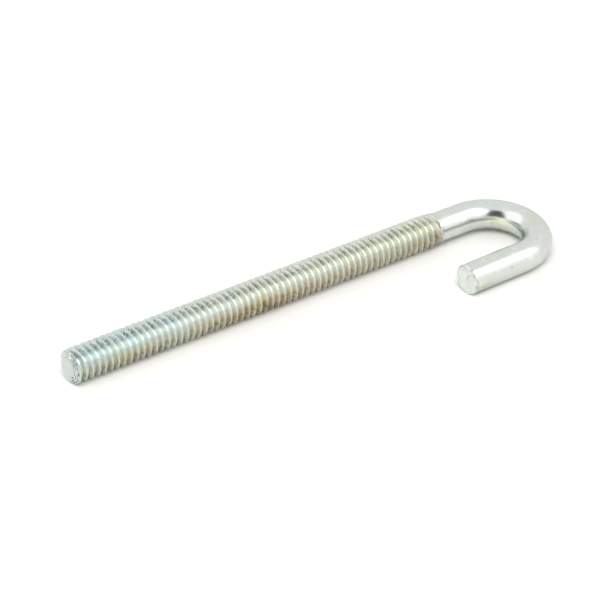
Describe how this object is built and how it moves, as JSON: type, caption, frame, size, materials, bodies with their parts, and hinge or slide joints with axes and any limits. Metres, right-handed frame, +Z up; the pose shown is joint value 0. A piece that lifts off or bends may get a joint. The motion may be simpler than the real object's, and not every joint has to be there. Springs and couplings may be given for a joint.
{
  "type": "j bolt",
  "caption": "Hook bolt of zinc-plated steel wire: a straight shank with a rolled coarse thread, bent at its other end into a round open hook with a short parallel leg.",
  "frame": {"origin": "middle of the footprint, on the surface that the bolt lies on", "axes": "+X along the shank from the threaded tip towards the hook, the hook curls towards -Y, +Z up"},
  "size_m": [0.0952, 0.0228, 0.0063],
  "materials": {
    "zinc_plated_steel": "bright zinc plate, satin, with a faint yellow passivation tint in the thread"
  },
  "bodies": {
    "root": {"j_bolt": "zinc_plated_steel"}
  },
  "joints": []
}
